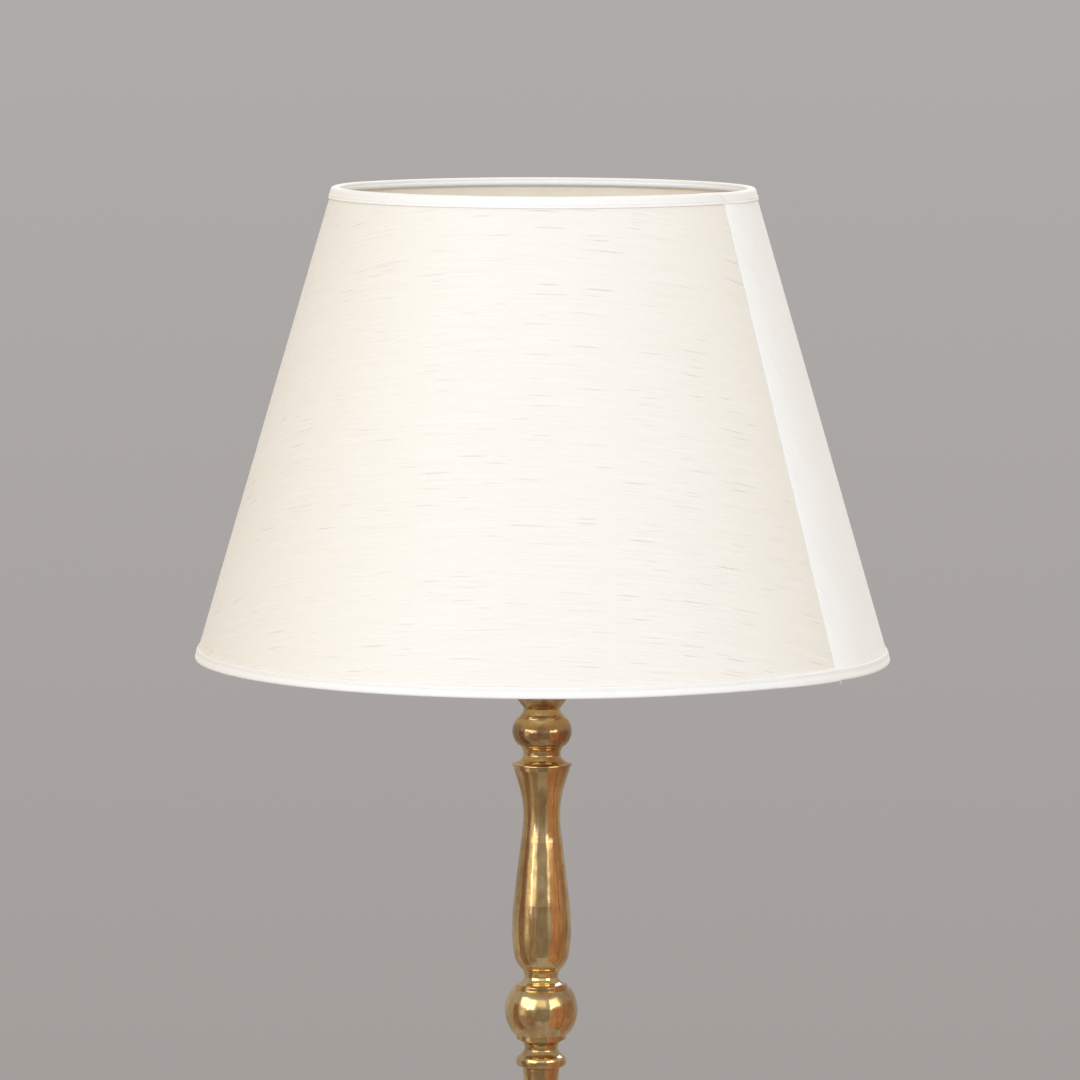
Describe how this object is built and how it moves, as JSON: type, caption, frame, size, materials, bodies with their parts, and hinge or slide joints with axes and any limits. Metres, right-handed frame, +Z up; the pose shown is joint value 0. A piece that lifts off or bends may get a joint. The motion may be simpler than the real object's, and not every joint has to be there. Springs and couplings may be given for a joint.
{
  "type": "column floor lamp",
  "caption": "Floor lamp with a turned brass baluster column, a weighted round foot and a lapped conical silk shade carried on a harp.",
  "frame": {"origin": "on the floor at the centre of the round foot", "axes": "+Z up along the column; -Y is the front, from which the picture was taken; +X to the right seen from the front"},
  "size_m": [0.5009, 0.501, 1.5],
  "materials": {
    "aged_brass": "polished, aged lacquer",
    "base_brass": "polished, spun, aged lacquer",
    "holder_brass": "satin",
    "harp_brass": "bright plated",
    "zinc_steel": "zinc plated",
    "iron_weight": "as cast, painted",
    "green_felt": "wool felt",
    "dark_plastic": "moulded phenolic",
    "fibre_liner": "vulcanised fibre",
    "screw_shell_metal": "drawn, thin",
    "silk": "slubbed silk, laid across",
    "silk_back": "slubbed silk, laid upright",
    "lining": "smooth stiff lining",
    "binding": "bias binding",
    "bulb_glass": "frosted"
  },
  "bodies": {
    "lamp": {"foot_vase": "aged_brass", "shaft_bead": "aged_brass", "shaft": "aged_brass", "lower_disc": "aged_brass", "lower_ball": "aged_brass", "middle_baluster": "aged_brass", "ball_disc": "aged_brass", "column_ball": "aged_brass", "upper_baluster": "aged_brass", "flare_collar": "aged_brass", "neck_bead": "aged_brass", "top_cup": "aged_brass", "centre_tube": "zinc_steel", "column_nut": "holder_brass", "base_shell": "base_brass", "base_weight": "iron_weight", "base_felt": "green_felt", "base_washer": "zinc_steel", "base_nut": "zinc_steel", "cord_bush": "dark_plastic", "holder_cap": "holder_brass", "holder_shell": "holder_brass", "insulating_liner": "fibre_liner", "holder_core": "dark_plastic", "screw_shell": "screw_shell_metal", "centre_contact": "holder_brass", "terminal_screws": "holder_brass", "harp_saddle": "harp_brass", "saddle_collar": "holder_brass", "harp": "harp_brass", "harp_stud": "harp_brass"},
    "shade": {"front_sheet": "silk", "back_sheet": "silk_back", "front_lining": "lining", "back_lining": "lining", "bottom_trim": "binding", "top_trim": "binding", "bottom_ring": "zinc_steel", "top_ring": "zinc_steel", "spider_hub": "zinc_steel", "spider_arm_left": "zinc_steel", "spider_arm_right": "zinc_steel"},
    "finial": {"finial": "aged_brass"},
    "sleeve_left": {"harp_sleeve_left": "harp_brass"},
    "sleeve_right": {"harp_sleeve_right": "harp_brass"},
    "switch": {"switch_spindle": "zinc_steel", "switch_key": "dark_plastic"},
    "bulb": {"bulb_glass": "bulb_glass", "bulb_cap": "screw_shell_metal"}
  },
  "joints": [
    {"name": "shade_turn", "type": "hinge", "parent": "lamp", "child": "shade", "pos_m": [0, 0, 1.448], "axis": [0, 0, 1], "continuous": true},
    {"name": "finial_turn", "type": "hinge", "parent": "lamp", "child": "finial", "pos_m": [0, 0, 1.455], "axis": [0, 0, 1], "continuous": true},
    {"name": "sleeve_left_lift", "type": "slide", "parent": "lamp", "child": "sleeve_left", "axis": [0, 0, 1], "range_m": [0, 0.02]},
    {"name": "sleeve_right_lift", "type": "slide", "parent": "lamp", "child": "sleeve_right", "axis": [0, 0, 1], "range_m": [0, 0.02]},
    {"name": "switch_turn", "type": "hinge", "parent": "lamp", "child": "switch", "pos_m": [0, -0.02, 1.1846], "axis": [0, 1, 0], "continuous": true},
    {"name": "bulb_unscrew", "type": "hinge", "parent": "lamp", "child": "bulb", "pos_m": [0, 0, 1.21], "axis": [0, 0, 1], "range_deg": [0, 1080]}
  ]
}
